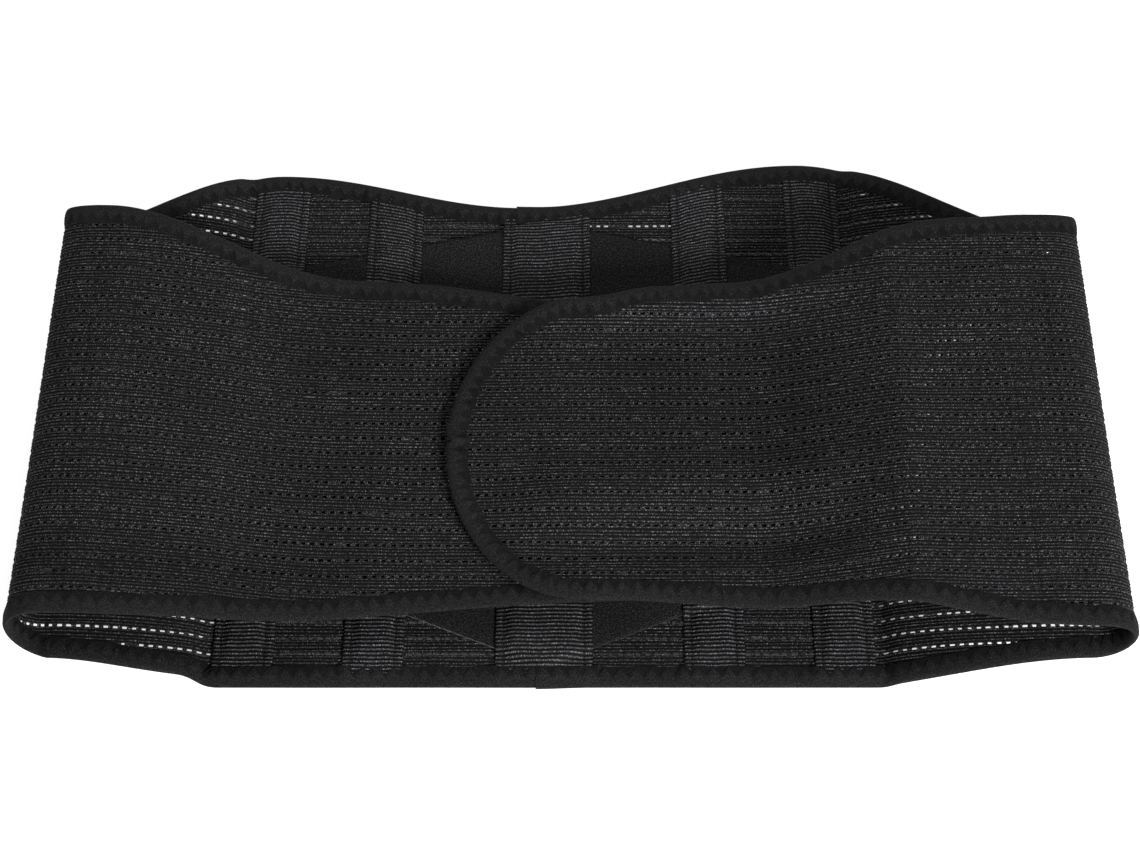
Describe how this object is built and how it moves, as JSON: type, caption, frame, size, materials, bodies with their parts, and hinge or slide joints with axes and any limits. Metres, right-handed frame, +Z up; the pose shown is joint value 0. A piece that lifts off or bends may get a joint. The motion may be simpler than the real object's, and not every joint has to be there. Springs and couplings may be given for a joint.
{
  "type": "lumbar support belt",
  "caption": "Elastic lower-back support belt, closed in front with a round-ended hook-and-loop flap, with stays in webbing sleeves and a pad at the back.",
  "frame": {"origin": "under the middle of the belt's box, on the surface that it lies on", "axes": "+X along the back panel to the side of the closing flap's wing, +Y from the hip edge to the rib edge, +Z up from the surface"},
  "size_m": [0.4746, 0.2594, 0.0398],
  "materials": {
    "elastic_knit": "ribbed perforated elastic, matt",
    "binding_tape": "folded knit tape, matt, zigzag stitched",
    "webbing": "ribbed nylon webbing, slight sheen",
    "pad_knit": "brushed knit, matt",
    "loop_fabric": "napped loop fabric",
    "hook_fabric": "moulded hook tape",
    "stay_steel": "galvanised spring steel",
    "stay_tip": "dipped vinyl"
  },
  "bodies": {
    "back": {"back_panel": "elastic_knit", "back_top_binding": "binding_tape", "back_bottom_binding": "binding_tape", "lumbar_pad": "pad_knit", "left_outer_sleeve": "webbing", "left_outer_stay": "stay_steel", "left_outer_stay_bottom_tip": "stay_tip", "left_outer_stay_top_tip": "stay_tip", "left_inner_sleeve": "webbing", "left_inner_stay": "stay_steel", "left_inner_stay_bottom_tip": "stay_tip", "left_inner_stay_top_tip": "stay_tip", "center_sleeve": "webbing", "center_stay": "stay_steel", "center_stay_bottom_tip": "stay_tip", "center_stay_top_tip": "stay_tip", "right_inner_sleeve": "webbing", "right_inner_stay": "stay_steel", "right_inner_stay_bottom_tip": "stay_tip", "right_inner_stay_top_tip": "stay_tip", "right_outer_sleeve": "webbing", "right_outer_stay": "stay_steel", "right_outer_stay_bottom_tip": "stay_tip", "right_outer_stay_top_tip": "stay_tip"},
    "right_side": {"right_side_panel": "elastic_knit", "right_side_top_binding": "binding_tape", "right_side_bottom_binding": "binding_tape"},
    "right_wing": {"right_front_panel": "elastic_knit", "right_front_top_binding": "binding_tape", "right_front_bottom_binding": "binding_tape", "right_side_sleeve": "webbing", "right_side_stay": "stay_steel", "right_side_stay_bottom_tip": "stay_tip", "right_side_stay_top_tip": "stay_tip"},
    "right_flap": {"closure_panel": "elastic_knit", "closure_binding": "binding_tape", "hook_patch": "hook_fabric"},
    "left_side": {"left_side_panel": "elastic_knit", "left_side_top_binding": "binding_tape", "left_side_bottom_binding": "binding_tape"},
    "left_wing": {"left_front_panel": "elastic_knit", "left_front_binding": "binding_tape", "left_side_sleeve": "webbing", "left_side_stay": "stay_steel", "left_side_stay_bottom_tip": "stay_tip", "left_side_stay_top_tip": "stay_tip", "loop_patch": "loop_fabric"}
  },
  "joints": [
    {"name": "right_side_fold", "type": "hinge", "parent": "back", "child": "right_side", "pos_m": [0.22562, -0.00575, 0.00539], "axis": [-0.0512, 0.9987, 0], "range_deg": [0, 80], "deforming": ["right_side_panel", "right_side_top_binding", "right_side_bottom_binding"]},
    {"name": "right_wing_fold", "type": "hinge", "parent": "right_side", "child": "right_wing", "pos_m": [0.22562, -0.00575, 0.03441], "axis": [-0.0512, 0.9987, 0], "range_deg": [0, 80]},
    {"name": "flap_peel", "type": "hinge", "parent": "right_wing", "child": "right_flap", "pos_m": [0.045, -0.00575, 0.0216], "axis": [-0.0102, 0.9999, 0], "range_deg": [0, 60]},
    {"name": "left_side_fold", "type": "hinge", "parent": "back", "child": "left_side", "pos_m": [-0.22562, -0.00575, 0.00539], "axis": [-0.0512, -0.9987, 0], "range_deg": [0, 48], "deforming": ["left_side_panel", "left_side_top_binding", "left_side_bottom_binding"]},
    {"name": "left_wing_fold", "type": "hinge", "parent": "left_side", "child": "left_wing", "pos_m": [-0.22562, -0.00575, 0.03441], "axis": [-0.0512, -0.9987, 0], "range_deg": [0, 48]}
  ],
  "couplings": [
    {"joint": "right_wing_fold", "follows": "right_side_fold", "ratio": 1},
    {"joint": "left_side_fold", "follows": "right_side_fold", "ratio": 0.6},
    {"joint": "left_wing_fold", "follows": "right_side_fold", "ratio": 0.6}
  ]
}
